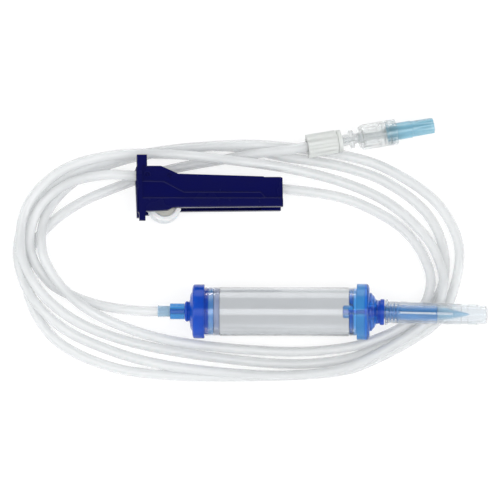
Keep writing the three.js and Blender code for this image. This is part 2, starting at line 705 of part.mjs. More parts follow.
// A tube along a route, with one ring of its section at each point
function tubeAlong(route) {
  const curve = new THREE.CatmullRomCurve3(route.map((point) => new THREE.Vector3(...point)), false, 'centripetal');
  curve.getUtoTmapping = (u) => u;
  const section = new THREE.Shape();
  for (let i = 0; i < TUBE_SIDES; i++) {
    const angle = (2 * Math.PI * i) / TUBE_SIDES;
    const corner = [Math.cos(angle), Math.sin(angle)].map((value) => (value * TUBE_DIAMETER) / 2);
    if (i === 0) section.moveTo(...corner);
    else section.lineTo(...corner);
  }
  const geometry = new THREE.ExtrudeGeometry(section, {
    steps: route.length - 1,
    extrudePath: curve,
    bevelEnabled: false,
    curveSegments: 1,
  });
  return solidOf(geometry);
}

// Groups: each holds its own pieces where they lie
const { degToRad } = THREE.MathUtils;

function chamberGroup() {
  const group = new THREE.Group();
  group.position.set(LOWER_FLANGE_X, LOWER_FLANGE_Y, CHAMBER_HEIGHT);
  group.rotation.set(0, -degToRad(CHAMBER_TILT_DEGREES), degToRad(CHAMBER_YAW_DEGREES), 'ZYX');
  group.add(
    named('lower_cap', lowerCap(), finishes.lowerCap),
    named('chamber_filter', filter(), finishes.filter),
    named('drip_chamber_barrel', barrel(), finishes.barrel),
    named('upper_cap', upperCap(), finishes.upperCap),
    named('drop_former', dropFormer(), finishes.dropFormer),
    spikeGroup(),
  );
  return group;
}

// The spike leans a little sideways in its socket, and the sheath with it
function spikeGroup() {
  const group = new THREE.Group();
  const lean = new THREE.Group();
  group.position.x = upperConeEnd;
  group.rotation.z = degToRad(SPIKE_YAW_DEGREES);
  lean.position.x = -upperConeEnd;
  lean.add(
    named('spike', spike(), finishes.spike),
    named('spike_sheath', spikeSheath(), finishes.sheath),
  );
  group.add(lean);
  return group;
}

function clampGroup() {
  const group = new THREE.Group();
  group.position.set(...CLAMP_POSITION);
  group.rotation.set(0, degToRad(CLAMP_TILT_DEGREES), degToRad(CLAMP_YAW_DEGREES), 'ZYX');
  const roller = named('clamp_roller', clampRoller(), finishes.roller);
  roller.position.set(ROLLER_REST[0], ROLLER_REST[1], 0);
  group.add(named('clamp_housing', clampHousing(), finishes.clamp), roller);
  return group;
}

function luerGroup() {
  const group = new THREE.Group();
  group.position.set(...LUER_START);
  group.rotation.set(0, degToRad(LUER_DROP_DEGREES), degToRad(LUER_YAW_DEGREES), 'ZYX');
  group.add(
    named('tube_grip', tubeGrip(), finishes.grip),
    named('luer_stem', luerStem(), finishes.stem),
    named('lock_collar', lockCollar(), finishes.collar),
    named('luer_cap', luerCap(), finishes.luerCap),
  );
  return group;
}

const infusionSet = new THREE.Group();
infusionSet.add(
  chamberGroup(),
  clampGroup(),
  luerGroup(),
  named('tubing_to_clamp', tubeAlong(ROUTE_TO_CLAMP), finishes.tubing),
  named('tubing_in_clamp', tubeAlong(ROUTE_IN_CLAMP), finishes.tubing),
  named('tubing_to_luer', tubeAlong(ROUTE_FROM_CLAMP), finishes.tubing),
);

export default infusionSet;
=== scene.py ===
import math

import bmesh
import bpy
from mathutils import Matrix, Vector


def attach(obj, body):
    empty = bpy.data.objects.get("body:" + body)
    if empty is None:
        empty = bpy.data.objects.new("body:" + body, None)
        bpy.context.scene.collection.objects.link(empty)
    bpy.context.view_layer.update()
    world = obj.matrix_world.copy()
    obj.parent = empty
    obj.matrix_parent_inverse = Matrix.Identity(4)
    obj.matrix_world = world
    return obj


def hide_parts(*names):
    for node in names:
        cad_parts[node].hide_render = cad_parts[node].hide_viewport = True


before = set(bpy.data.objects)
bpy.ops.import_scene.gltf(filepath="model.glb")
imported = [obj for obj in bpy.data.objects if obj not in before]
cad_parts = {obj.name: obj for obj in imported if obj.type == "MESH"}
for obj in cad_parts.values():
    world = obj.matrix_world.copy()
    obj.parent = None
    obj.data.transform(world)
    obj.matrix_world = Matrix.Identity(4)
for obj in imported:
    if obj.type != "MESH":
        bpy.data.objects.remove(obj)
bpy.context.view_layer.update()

MM = 0.001
scene = bpy.context.scene


# Camera
PHOTO_SIDE_MM = 205.0          # what the photograph's side covers on the table
CAMERA_DISTANCE_MM = 6000.0
CAMERA_ELEVATION = math.radians(80)
VIEW_CENTRE = Vector((-29.8, 27.24, 3.0))
SENSOR_MM = 36.0


def make_camera():
    data = bpy.data.cameras.new("photo_camera")
    data.sensor_width = SENSOR_MM
    data.lens = SENSOR_MM * CAMERA_DISTANCE_MM / PHOTO_SIDE_MM
    data.clip_start = 0.01
    data.clip_end = 20
    camera = bpy.data.objects.new("photo_camera", data)
    away = Vector((0, -math.cos(CAMERA_ELEVATION), math.sin(CAMERA_ELEVATION)))
    camera.location = (VIEW_CENTRE + away * CAMERA_DISTANCE_MM) * MM
    camera.rotation_euler = away.to_track_quat("Z", "Y").to_euler()
    scene.collection.objects.link(camera)
    scene.camera = camera


make_camera()


# Node helpers
def linear(hex_colour):
    """An sRGB hex colour as the linear RGBA that a shader socket takes."""
    colour = []
    for i in (1, 3, 5):
        level = int(hex_colour[i:i + 2], 16) / 255
        colour.append(level / 12.92 if level <= 0.04045 else ((level + 0.055) / 1.055) ** 2.4)
    return (*colour, 1.0)


def add_node(tree, kind, settings=(), links=()):
    """One node with its settings and links; a setting is a socket where the node has one."""
    made = tree.nodes.new(kind)
    for name, value in dict(settings).items():
        if isinstance(name, str) and name not in made.inputs:
            setattr(made, name, value)
    for name, value in dict(settings).items():
        if isinstance(name, int) or name in made.inputs:
            made.inputs[name].default_value = value
    for name, source in dict(links).items():
        tree.links.new(source, made.inputs[name])
    return made


def new_material(name):
    made = bpy.data.materials.new(name)
    made.use_nodes = True
    made.node_tree.nodes.clear()
    return made, made.node_tree


def object_noise(tree, size_mm, detail=2.0, stretch=(1, 1, 1)):
    """Noise whose blotches are about size_mm wide, on Object coordinates."""
    place = add_node(tree, "ShaderNodeTexCoord")
    turned_place = add_node(
        tree, "ShaderNodeMapping", {"Scale": stretch}, {"Vector": place.outputs["Object"]},
    )
    return add_node(
        tree, "ShaderNodeTexNoise",
        {"Scale": 1 / (size_mm * MM), "Detail": detail, "Roughness": 0.5},
        {"Vector": turned_place.outputs["Vector"]},
    )


def plastic(
    name, colour, shade, rough=(0.3, 0.4), grain_mm=0.5, grain_depth_mm=0.01, patch_mm=6.0,
    clear=0.0, ior=1.5, specular=0.5, milky=0.0, solid=1.0, stretch=(1, 1, 1),
):
    """A moulded or extruded plastic: colour drifts to shade in soft patches, over a fine grain."""
    made, tree = new_material(name)
    patches = object_noise(tree, patch_mm, 2.0, stretch)
    mixed = add_node(
        tree, "ShaderNodeMix",
        {"data_type": "RGBA", 6: linear(colour), 7: linear(shade)}, {0: patches.outputs["Fac"]},
    )
    roughness = add_node(
        tree, "ShaderNodeMapRange",
        {"From Min": 0.3, "From Max": 0.7, "To Min": rough[0], "To Max": rough[1]},
        {"Value": patches.outputs["Fac"]},
    )
    links = {"Base Color": mixed.outputs[2], "Roughness": roughness.outputs["Result"]}
    if grain_depth_mm:
        grain = object_noise(tree, grain_mm, 2.0, stretch)
        bump = add_node(
            tree, "ShaderNodeBump", {"Strength": 0.5, "Distance": grain_depth_mm * MM},
            {"Height": grain.outputs["Fac"]},
        )
        links["Normal"] = bump.outputs["Normal"]
    shader = add_node(
        tree, "ShaderNodeBsdfPrincipled",
        {
            "Transmission Weight": clear, "IOR": ior, "Specular IOR Level": specular,
            "Subsurface Weight": milky, "Subsurface Scale": 0.002, "Alpha": solid,
        },
        links,
    )
    add_node(tree, "ShaderNodeOutputMaterial", {}, {"Surface": shader.outputs["BSDF"]})
    return made


# Soft PVC, extruded: clear with a good deal of milk, so each strand shows white in soft patches
soft_clear_pvc = plastic(
    "soft_clear_pvc_tubing", "#F6F8F9", "#F0F2F3", (0.16, 0.22), grain_depth_mm=0, patch_mm=12,
    clear=0.35, ior=1.5, solid=0.53, specular=1.0,
)
# Rigid PVC, moulded: the chamber's barrel is faintly hazed, which softens what lies behind it
hazed_pvc = plastic(
    "hazed_pvc_barrel", "#E9EBED", "#E4E6E8", (0.06, 0.1), grain_depth_mm=0, patch_mm=14,
    clear=1.0, ior=1.65,
)
# The same PVC where the caps' plugs are welded to it: no air gap dims the plugs behind it
welded_pvc = plastic(
    "welded_pvc_barrel", "#EEF2F6", "#E8ECF2", (0.06, 0.1), grain_depth_mm=0, patch_mm=14,
    clear=1.0, ior=1.4, solid=0.3,
)
# ABS, moulded: the royal blue cap lets a little light through, with a soft gloss
blue_abs = plastic(
    "royal_blue_abs", "#065AD8", "#024AC4", (0.12, 0.18), grain_mm=0.8, grain_depth_mm=0.004,
    patch_mm=4, clear=0.42, specular=0.2,
)
# The same ABS in a thinner tint lets light through, so thin walls go pale
tinted_abs = plastic(
    "tinted_blue_abs", "#2C90F8", "#1C7CEC", (0.08, 0.14), grain_mm=0.8, grain_depth_mm=0.004,
    patch_mm=4, clear=0.85,
)
# The upper cap's skirt, seen across its whole width
skirt_abs = plastic(
    "skirt_blue_abs", "#449CE0", "#3488D0", (0.08, 0.14), grain_mm=0.8, grain_depth_mm=0.004,
    patch_mm=4, clear=0.9,
)
# The walls of the caps are thinner than their plates, and look lighter
thin_abs = plastic(
    "thin_walled_blue_abs", "#5CB4F8", "#48A4F0", (0.06, 0.1), grain_depth_mm=0, patch_mm=4,
    clear=0.95,
)
# Where that ABS is thinnest, at the spike's point, it is paler still
pale_abs = plastic(
    "pale_blue_abs", "#D0F0FF", "#B0DCFC", (0.06, 0.12), grain_depth_mm=0, patch_mm=3, clear=0.45,
)
# The spike's ABS, smoother and paler
spike_abs = plastic(
    "spike_blue_abs", "#54B0F8", "#409CF0", (0.08, 0.12), grain_depth_mm=0, patch_mm=7, clear=0.5,
    ior=2.2,
)
# The sleeve at the outlet's mouth is so thin that the tube shows through it
sleeve_abs = plastic(
    "outlet_sleeve_abs", "#C0E4F8", "#B0D8F2", (0.08, 0.14), grain_depth_mm=0, patch_mm=3,
    clear=0.5, solid=0.55,
)
# A near-white pipe along the top of the spike's shaft, where its fluid way runs, is a painted
# highlight streak
fluid_way_abs = plastic(
    "fluid_way_abs", "#F4FAFF", "#E4F2FF", (0.08, 0.14), grain_depth_mm=0, patch_mm=3, clear=0.2,
)
# Polyethylene, moulded: waxy and a little hazed
hazed_polyethylene = plastic(
    "hazed_polyethylene_sheath", "#EEF2F5", "#E6EBEF", (0.06, 0.1), grain_depth_mm=0, patch_mm=9,
    clear=1.0, ior=1.4, solid=0.7,
)
# ABS, moulded in navy: satin, with the faint orange peel of its mould
navy_abs = plastic(
    "navy_abs_clamp", "#03064A", "#02043E", (0.22, 0.3), grain_mm=0.9, grain_depth_mm=0.012,
    patch_mm=9, specular=0.12,
)
# The edges of the clamp's relief, polished by the mould, catch the light
polished_navy = plastic(
    "polished_navy_edges", "#03064A", "#02043E", (0.2, 0.26), grain_depth_mm=0, patch_mm=9,
    specular=0.2,
)
# Acetal, moulded: dense white with a low sheen
white_acetal = plastic(
    "white_acetal_roller", "#E4E6E7", "#DADCDD", (0.3, 0.4), grain_mm=0.5, grain_depth_mm=0.006,
    milky=0.1,
)
# The roller's recessed web is given a greyer white than its rim: painted shade for the recess
painted_shade_acetal = plastic(
    "dull_acetal_web", "#C6C5BE", "#BAB9B2", (0.4, 0.5), grain_mm=0.5, grain_depth_mm=0.006,
    milky=0.1,
)
# Thermoplastic elastomer, moulded: frosted and soft
frosted_elastomer = plastic(
    "frosted_elastomer_grip", "#F0F3F1", "#E8EBE8", (0.3, 0.4), grain_mm=0.4, grain_depth_mm=0.006,
    clear=0.3,
)
# Polycarbonate, moulded: water clear and hard
clear_polycarbonate = plastic(
    "clear_polycarbonate_luer", "#F6F9F9", "#F0F3F3", (0.05, 0.09), grain_depth_mm=0, clear=1.0,
    ior=1.5, solid=0.55,
)
# The stem's thicker polycarbonate is greyer
thick_polycarbonate = plastic(
    "thick_polycarbonate_stem", "#E0E4E5", "#D8DCDD", (0.08, 0.12), grain_depth_mm=0, clear=0.8,
    ior=1.5, solid=0.65,
)
# Polypropylene, moulded: the end cap's pale blue, waxy
pale_blue_polypropylene = plastic(
    "pale_blue_polypropylene", "#A4DEF0", "#88C8E0", (0.1, 0.16), grain_mm=0.6,
    grain_depth_mm=0.004, patch_mm=5, clear=0.55, ior=1.9, stretch=(0.2, 1, 1),
)
# Nylon mesh in a clear rim: matt, and faintly mauve
nylon_filter = plastic(
    "nylon_filter", "#E0EAFF", "#CCD8F8", (0.3, 0.4), grain_mm=0.3, grain_depth_mm=0.01, clear=0.8,
)


# Geometry helpers, in millimetres
def filleted(profile, steps=4):
    """A profile of (along, radius[, fillet]) points with its filleted corners rounded."""
    count = len(profile)
    on_axis = profile[0][1] == 0
    rounded = []
    for i, point in enumerate(profile):
        here = Vector(point[:2])
        if len(point) < 3 or (on_axis and i in (0, count - 1)):
            rounded.append(here)
            continue
        back = Vector(profile[i - 1][:2]) - here
        ahead = Vector(profile[(i + 1) % count][:2]) - here
        reach = min(point[2], back.length * 0.48, ahead.length * 0.48)
        start, end = here + back.normalized() * reach, here + ahead.normalized() * reach
        for k in range(steps + 1):
            t = k / steps
            rounded.append(start * (1 - t) ** 2 + here * 2 * t * (1 - t) + end * t * t)
    return rounded


def skin(mesh, ring_a, ring_b):
    """Quads, or a fan at a pole, between two rings of points."""
    count = max(len(ring_a), len(ring_b))
    for k in range(count):
        near = [ring_a[k % len(ring_a)], ring_a[(k + 1) % len(ring_a)]]
        far = [ring_b[(k + 1) % len(ring_b)], ring_b[k % len(ring_b)]]
        corners = []
        for vert in near + far:
            if vert not in corners:
                corners.append(vert)
        if len(corners) > 2:
            mesh.faces.new(corners)


def turned(profile, sides=96, warp=None, mesh=None):
    """A profile turned about X; warp(along, radius, angle) may shift each point."""
    mesh = mesh or bmesh.new()
    old = len(mesh.faces)
    points = filleted(profile)
    rings = []
    for along, radius in points:
        if radius < 1e-6:
            rings.append([mesh.verts.new((along, 0, 0))])
            continue
        ring = []
        for k in range(sides):
            angle = 2 * math.pi * k / sides
            x, r = warp(along, radius, angle) if warp else (along, radius)
            ring.append(mesh.verts.new((x, r * math.cos(angle), r * math.sin(angle))))
        rings.append(ring)
    for ring_a, ring_b in zip(rings, rings[1:]):
        skin(mesh, ring_a, ring_b)
    if points[0][1] > 1e-6:
        skin(mesh, rings[-1], rings[0])
    mesh.faces.ensure_lookup_table()
    bmesh.ops.recalc_face_normals(mesh, faces=mesh.faces[old:])
    return mesh


def pipe(path, outer, inner=0.0, sides=24, mesh=None):
    """A tube along a path, hollow where inner is set, closed at both ends."""
    mesh = mesh or bmesh.new()
    old = len(mesh.faces)
    side = None
    outer_rings, inner_rings = [], []
    for i, point in enumerate(path):
        ahead = (path[min(i + 1, len(path) - 1)] - path[max(i - 1, 0)]).normalized()
        if side is None:
            side = ahead.cross(Vector((0, 0, 1))).normalized()
        side = (side - ahead * side.dot(ahead)).normalized()
        up = ahead.cross(side)
        turns = [2 * math.pi * k / sides for k in range(sides)]
        spokes = [side * math.cos(turn) + up * math.sin(turn) for turn in turns]
        outer_rings.append([mesh.verts.new(point + spoke * outer) for spoke in spokes])
        if inner:
            inner_rings.append([mesh.verts.new(point + spoke * inner) for spoke in spokes])
    for rings in (outer_rings, inner_rings):
        for ring_a, ring_b in zip(rings, rings[1:]):
            skin(mesh, ring_a, ring_b)
    for end in (0, -1):
        if inner:
            skin(mesh, outer_rings[end], inner_rings[end])
        else:
            mesh.faces.new(outer_rings[end])
    mesh.faces.ensure_lookup_table()
    bmesh.ops.recalc_face_normals(mesh, faces=mesh.faces[old:])
    return mesh


def as_object(name, mesh, material, place=Matrix.Identity(4), sharp_degrees=38):
    """The mesh as an object at the origin, its place and metres in its points."""
    data = bpy.data.meshes.new(name)
    mesh.transform(Matrix.Scale(MM, 4) @ place)
    mesh.to_mesh(data)
    mesh.free()
    data.materials.append(material)
    data.shade_smooth()
    data.set_sharp_from_angle(angle=math.radians(sharp_degrees))
    made = bpy.data.objects.new(name, data)
    scene.collection.objects.link(made)
    return made


def settle(piece, body, nodes):
    """The piece rides on its body and stands for its CAD nodes, which it hides."""
    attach(piece, body)
    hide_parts(*nodes)
    return piece


# Repeats, as node trees
def repeat_tree(name, inputs):
    """An empty geometry tree with named inputs, and its input and output nodes."""
    tree = bpy.data.node_groups.new(name, "GeometryNodeTree")
    tree.interface.new_socket("Geometry", in_out="INPUT", socket_type="NodeSocketGeometry")
    for label, kind in inputs:
        tree.interface.new_socket(label, in_out="INPUT", socket_type=kind)
    tree.interface.new_socket("Geometry", in_out="OUTPUT", socket_type="NodeSocketGeometry")
    return tree, tree.nodes.new("NodeGroupInput")


def close_tree(tree, given, instances):
    """Joins the repeats to what came in, realises them and sets the material."""
    joined = add_node(tree, "GeometryNodeJoinGeometry", {}, {"Geometry": given.outputs["Geometry"]})
    tree.links.new(instances, joined.inputs["Geometry"])
    real = add_node(
        tree, "GeometryNodeRealizeInstances", {}, {"Geometry": joined.outputs["Geometry"]},
    )
    painted = add_node(
        tree, "GeometryNodeSetMaterial", {},
        {"Geometry": real.outputs["Geometry"], "Material": given.outputs["Material"]},
    )
    add_node(tree, "NodeGroupOutput", {}, {"Geometry": painted.outputs["Geometry"]})


def ribs_round_axis():
    """Round-backed ribs along X, spread round the X axis."""
    tree, given = repeat_tree("ribs_round_axis", [
        ("Count", "NodeSocketInt"), ("Reach", "NodeSocketFloat"), ("Middle", "NodeSocketFloat"),
        ("Length", "NodeSocketFloat"), ("Thickness", "NodeSocketFloat"),
        ("Material", "NodeSocketMaterial"),
    ])
    rib = add_node(
        tree, "GeometryNodeMeshCylinder", {"Vertices": 10},
        {"Radius": given.outputs["Thickness"], "Depth": given.outputs["Length"]},
    )
    shift = add_node(
        tree, "ShaderNodeCombineXYZ", {},
        {"X": given.outputs["Middle"], "Z": given.outputs["Reach"]},
    )
    laid = add_node(
        tree, "GeometryNodeTransform", {"Rotation": (0, math.pi / 2, 0)},
        {"Geometry": rib.outputs["Mesh"], "Translation": shift.outputs["Vector"]},
    )
    spots = add_node(tree, "GeometryNodePoints", {}, {"Count": given.outputs["Count"]})
    index = add_node(tree, "GeometryNodeInputIndex")
    share = add_node(
        tree, "ShaderNodeMath", {"operation": "DIVIDE"},
        {0: index.outputs["Index"], 1: given.outputs["Count"]},
    )
    angle = add_node(
        tree, "ShaderNodeMath", {"operation": "MULTIPLY", 1: 2 * math.pi}, {0: share.outputs[0]},
    )
    turn = add_node(tree, "ShaderNodeCombineXYZ", {}, {"X": angle.outputs[0]})
    spread = add_node(
        tree, "GeometryNodeInstanceOnPoints", {},
        {
            "Points": spots.outputs["Geometry"], "Instance": laid.outputs["Geometry"],
            "Rotation": turn.outputs["Vector"],
        },
    )
    close_tree(tree, given, spread.outputs["Instances"])
    return tree


def mesh_strands():
    """Two crossed rows of strands in the YZ plane, each as long as the disc is wide there."""
    tree, given = repeat_tree("mesh_strands", [
        ("Count", "NodeSocketInt"), ("Disc Radius", "NodeSocketFloat"),
        ("Along", "NodeSocketFloat"), ("Thickness", "NodeSocketFloat"),
        ("Material", "NodeSocketMaterial"),
    ])
    strand = add_node(
        tree, "GeometryNodeMeshCylinder", {"Vertices": 6, "Depth": 2.0},
        {"Radius": given.outputs["Thickness"]},
    )
    index = add_node(tree, "GeometryNodeInputIndex")
    offset = add_node(
        tree, "ShaderNodeMapRange", {"From Min": -1.0, "To Min": -1.0, "To Max": 1.0},
        {"Value": index.outputs["Index"], "From Max": given.outputs["Count"]},
    )
    square = add_node(
        tree, "ShaderNodeMath", {"operation": "MULTIPLY"},
        {0: offset.outputs["Result"], 1: offset.outputs["Result"]},
    )
    rest = add_node(
        tree, "ShaderNodeMath", {"operation": "SUBTRACT", 0: 1.0}, {1: square.outputs[0]},
    )
    half = add_node(tree, "ShaderNodeMath", {"operation": "SQRT"}, {0: rest.outputs[0]})
    reach = add_node(
        tree, "ShaderNodeMath", {"operation": "MULTIPLY"},
        {0: half.outputs[0], 1: given.outputs["Disc Radius"]},
    )
    aside = add_node(
        tree, "ShaderNodeMath", {"operation": "MULTIPLY"},
        {0: offset.outputs["Result"], 1: given.outputs["Disc Radius"]},
    )
    size = add_node(tree, "ShaderNodeCombineXYZ", {"X": 1.0, "Y": 1.0}, {"Z": reach.outputs[0]})
    spot = add_node(
        tree, "ShaderNodeCombineXYZ", {}, {"X": given.outputs["Along"], "Y": aside.outputs[0]},
    )
    spots = add_node(
        tree, "GeometryNodePoints", {},
        {"Count": given.outputs["Count"], "Position": spot.outputs["Vector"]},
    )
    row = add_node(
        tree, "GeometryNodeInstanceOnPoints", {},
        {
            "Points": spots.outputs["Geometry"], "Instance": strand.outputs["Mesh"],
            "Scale": size.outputs["Vector"],
        },
    )
    crossed = add_node(
        tree, "GeometryNodeTransform", {"Rotation": (math.pi / 2, 0, 0)},
        {"Geometry": row.outputs["Instances"]},
    )
    both = add_node(tree, "GeometryNodeJoinGeometry", {}, {"Geometry": row.outputs["Instances"]})
    tree.links.new(crossed.outputs["Geometry"], both.inputs["Geometry"])
    close_tree(tree, given, both.outputs["Geometry"])
    return tree


def with_repeats(mesh, tree, **values):
    """The mesh joined with the tree's repeats, as a new bmesh in millimetres."""
    data = bpy.data.meshes.new("repeat_source")
    mesh.to_mesh(data)
    mesh.free()
    source = bpy.data.objects.new("repeat_source", data)
    scene.collection.objects.link(source)
    modifier = source.modifiers.new("repeats", "NODES")
    modifier.node_group = tree
    for item in tree.interface.items_tree:
        label = item.name.replace(" ", "_").lower()
        if item.in_out == "INPUT" and label in values:
            modifier[item.identifier] = values[label]
    graph = bpy.context.evaluated_depsgraph_get()
    result = bpy.data.meshes.new_from_object(source.evaluated_get(graph))
    bpy.data.objects.remove(source)
    joined = bmesh.new()
    joined.from_mesh(result)
    return joined


rib_tree = ribs_round_axis()
strand_tree = mesh_strands()


# Where the groups lie: the start of each one's own X axis, and its turns in degrees
CHAMBER_START, CHAMBER_YAW, CHAMBER_TILT = (-50.85, 0.3, 11.14), -0.4, -1.3
CLAMP_START, CLAMP_YAW, CLAMP_TILT = (-76.5, 55.7, 11.8), 0.95, 5.5
LUER_START, LUER_YAW, LUER_TILT = (-6.3, 69.15, 9.63), 10.8, 6.2
# The spike sits a little askew in the end of the upper cap's cone
CONE_END = 73.35
SPIKE_YAW = -1.4


def turn(axis, degrees):
    return Matrix.Rotation(math.radians(degrees), 4, axis)


def place_at(start, yaw, tilt):
    return Matrix.Translation(start) @ turn("Z", yaw) @ turn("Y", tilt)


chamber_place = place_at(CHAMBER_START, CHAMBER_YAW, CHAMBER_TILT)
to_cone_end = Matrix.Translation((CONE_END, 0, 0))
from_cone_end = Matrix.Translation((-CONE_END, 0, 0))
spike_place = chamber_place @ to_cone_end @ turn("Z", SPIKE_YAW) @ from_cone_end
clamp_place = place_at(CLAMP_START, CLAMP_YAW, CLAMP_TILT)
luer_place = place_at(LUER_START, LUER_YAW, LUER_TILT)


# Tubing
TUBE_DIAMETER = 4.1
TUBE_BORE = 3.0
TUBE_ROUTE = [
    # Outlet, and the first pass round the left
    (-67.9, 0.4, 10.75), (-72.4, 0.5, 10.3), (-89.2, 3.8, 3.1), (-100.6, 7.5, 2.1),
    (-112.0, 13.8, 2.9), (-119.8, 26.6, 6.6), (-116.9, 42.7, 7.6), (-104.8, 53.6, 8.5),
    (-89.2, 57.2, 10.3), (-77.2, 56.6, 11.6),
    # Along the clamp's channel
    (-67.2, 56.1, 10.9), (-59.4, 53.0, 10.2), (-44.0, 52.6, 8.7), (-30.0, 52.4, 7.4),
    (-16.2, 52.1, 6.0),
    # Inner pass round the right
    (9.2, 48.7, 2.5), (25.6, 41.3, 2.1), (33.7, 35.3, 2.2), (40.5, 26.4, 3.2),
    (44.3, 14.2, 4.4), (41.1, 3.0, 5.5), (32.7, -5.1, 5.8),
    # Second pass along the bottom, round the left and along the top
    (17.6, -11.7, 4.9), (9.2, -13.7, 4.7), (-13.4, -15.1, 3.1), (-64.6, -10.0, 3.7),
    (-89.2, -1.7, 5.3), (-101.1, 5.7, 6.3), (-109.6, 14.6, 7.0), (-115.0, 26.4, 7.7),
    (-113.6, 41.1, 5.1), (-104.3, 53.9, 2.4), (-89.2, 62.4, 2.1), (-64.6, 68.5, 2.1),
    (-40.0, 70.5, 2.1), (-13.4, 65.8, 2.1), (-4.8, 64.6, 2.1), (9.2, 61.8, 2.1),
    # Second pass round the right
    (25.6, 55.9, 2.1), (42.8, 42.5, 2.1), (49.4, 28.1, 2.1), (49.2, 13.1, 2.1),
    (43.2, 1.9, 2.1), (33.8, -6.4, 2.1),
    # Third pass along the bottom, round the left and along the top
    (17.6, -15.3, 2.1), (9.2, -18.0, 2.1), (-13.4, -20.0, 2.1), (-64.6, -14.0, 2.2),
    (-89.2, -7.6, 2.5), (-104.7, -0.5, 5.7), (-116.6, 10.2, 8.7), (-123.7, 26.1, 9.3),
    (-120.9, 44.8, 9.2), (-107.7, 58.8, 9.1), (-89.2, 64.9, 10.2), (-64.6, 65.8, 11.1),
    (-40.0, 63.5, 11.2), (-13.4, 60.4, 6.6), (9.2, 55.2, 2.6),
    # Third pass round the right
    (25.6, 47.8, 2.3), (37.4, 38.0, 3.8), (45.8, 26.9, 5.2), (49.5, 12.3, 6.7),
    (45.3, -0.4, 5.6), (34.9, -9.0, 6.0),
    # Fourth pass along the bottom, round the left and along the top
    (17.6, -19.0, 6.4), (9.2, -22.4, 6.6), (-13.4, -25.6, 7.1), (-64.6, -20.9, 4.8),
    (-89.2, -13.5, 2.1), (-107.3, -4.9, 4.5), (-120.1, 8.5, 6.7), (-125.0, 26.9, 4.8),
    (-119.5, 44.9, 3.7), (-106.3, 57.0, 5.0), (-89.2, 63.2, 6.3), (-64.6, 68.1, 6.3),
    (-40.0, 70.2, 6.5), (-26.5, 70.6, 5.7), (-13.4, 69.9, 3.3), (-4.8, 69.0, 2.1),
    (9.2, 66.7, 2.5),
    # Outer pass round the right
    (25.6, 61.6, 2.1), (47.5, 46.3, 2.1), (55.8, 29.3, 2.1), (53.9, 11.8, 2.1),
    (47.5, -1.5, 2.1), (36.0, -10.3, 2.1),
    # Last pass along the bottom, round the left, under the clamp and up to the luer end
    (17.6, -19.8, 2.1), (9.2, -22.6, 2.1), (-13.4, -24.7, 2.1), (-64.6, -24.6, 2.1),
    (-89.2, -20.4, 2.1), (-110.1, -9.3, 2.1), (-120.6, 9.0, 2.1), (-119.8, 27.4, 2.1),
    (-110.1, 39.6, 2.1), (-100.1, 46.6, 2.1), (-89.2, 51.7, 2.1), (-64.6, 60.4, 2.2),
    (-40.0, 64.9, 3.8), (-26.5, 66.6, 7.8), (-13.4, 67.9, 9.8), (-6.05, 69.2, 9.6),
]
STUB_FACE = -11.65             # where the tube's end meets the outlet, along the chamber
STUB_GAP = 0.05
STRAIGHT_AT_OUTLET = 2.6
TUBE_END_IN_GRIP = 5.0
TUBE_SIDES = 28


def smooth_route(stations, step=1.6):
    """Points about a step apart on the centripetal curve through the stations."""
    ends = [stations[0] * 2 - stations[1], *stations, stations[-1] * 2 - stations[-2]]
    path = []
    for i in range(1, len(ends) - 2):
        p0, p1, p2, p3 = ends[i - 1:i + 3]
        t1 = (p1 - p0).length ** 0.5
        t2 = t1 + (p2 - p1).length ** 0.5
        t3 = t2 + (p3 - p2).length ** 0.5
        pieces = max(2, round((p2 - p1).length / step))
        for k in range(pieces):
            t = t1 + (t2 - t1) * k / pieces
            a1 = p0.lerp(p1, t / t1)
            a2 = p1.lerp(p2, (t - t1) / (t2 - t1))
            a3 = p2.lerp(p3, (t - t2) / (t3 - t2))
            b1 = a1.lerp(a2, t / t2)
            b2 = a2.lerp(a3, (t - t1) / (t3 - t1))
            path.append(b1.lerp(b2, (t - t1) / (t2 - t1)))
    path.append(stations[-1])
    return path


def make_tubing():
    start = STUB_FACE - STUB_GAP
    outlet = [chamber_place @ Vector((x, 0, 0)) for x in (start, start - STRAIGHT_AT_OUTLET)]
    inlet = [luer_place @ Vector((TUBE_END_IN_GRIP, 0, 0))]
    path = smooth_route(outlet + [Vector(point) for point in TUBE_ROUTE] + inlet)
    mesh = pipe(path, TUBE_DIAMETER / 2, TUBE_BORE / 2, sides=TUBE_SIDES)
    piece = as_object("tubing", mesh, soft_clear_pvc)
    settle(piece, "set", ["tubing_to_clamp", "tubing_in_clamp", "tubing_to_luer"])
    return piece, [point * MM for point in path]


tubing, tube_path = make_tubing()


# Drip chamber
BARREL_RADIUS = 10.0
BARREL_INNER = 9.3
# The wall shows the plugs at almost its full width, so its welded ends are bored out a little
BARREL_END_INNER = 9.65
BARREL_CLEAR_SPAN = (8.8, 61.5)
BARREL_WELD_SPANS = ((2.65, 8.75), (61.55, 64.55))
BARREL_SIDES = 128
PLUG_RADIUS = 9.5
PLUG_INNER = 7.7
LOWER_FLANGE_RADIUS = 11.1
UPPER_FLANGE_RADIUS = 11.5
OUTLET_BORE = 0.9
SLEEVE_START = -16.65
DROP_BORE = 0.8
FORMER_RADIUS = 2.65


